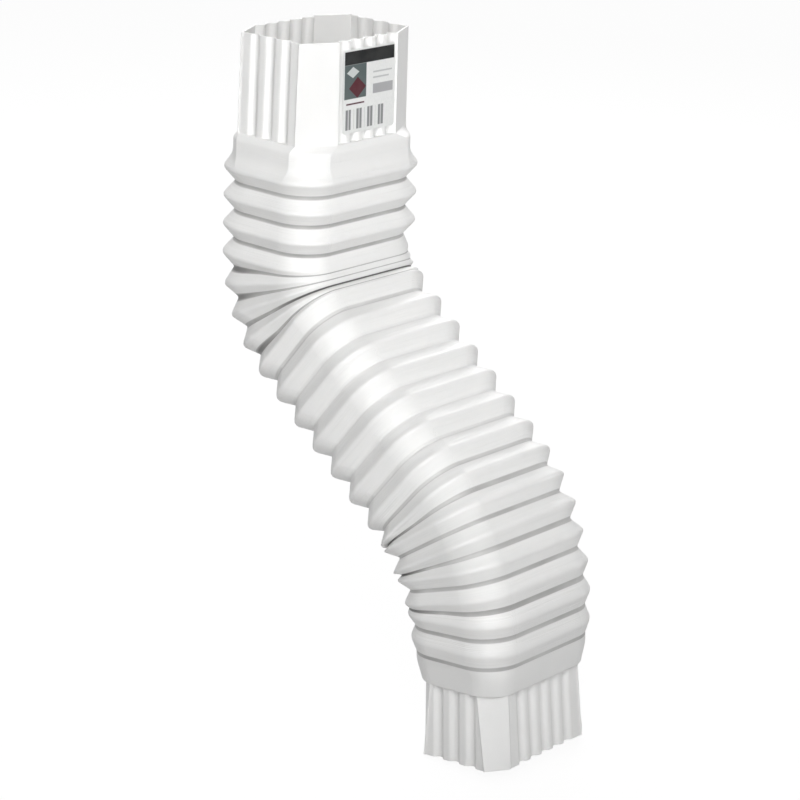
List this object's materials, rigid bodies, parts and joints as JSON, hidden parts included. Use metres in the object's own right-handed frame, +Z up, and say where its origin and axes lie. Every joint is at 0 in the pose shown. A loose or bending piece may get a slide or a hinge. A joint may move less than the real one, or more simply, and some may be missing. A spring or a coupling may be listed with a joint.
{
  "type": "flexible downspout elbow",
  "caption": "Flexible white vinyl downspout elbow: fluted rectangular ends joined by accordion rings bent into a shallow S, with a paper label.",
  "frame": {"origin": "centre of the inlet rim, where the downspout above enters", "axes": "+Z up along the inlet's axis, +X the way the S leads off, Y along the wide faces"},
  "size_m": [0.2575, 0.121, 0.4434],
  "materials": {
    "vinyl": "glossy white vinyl, slightly translucent",
    "label": "printed paper label, stuck on"
  },
  "bodies": {
    "root": {"flexible_elbow": "vinyl", "paper_label": "label"}
  },
  "joints": []
}
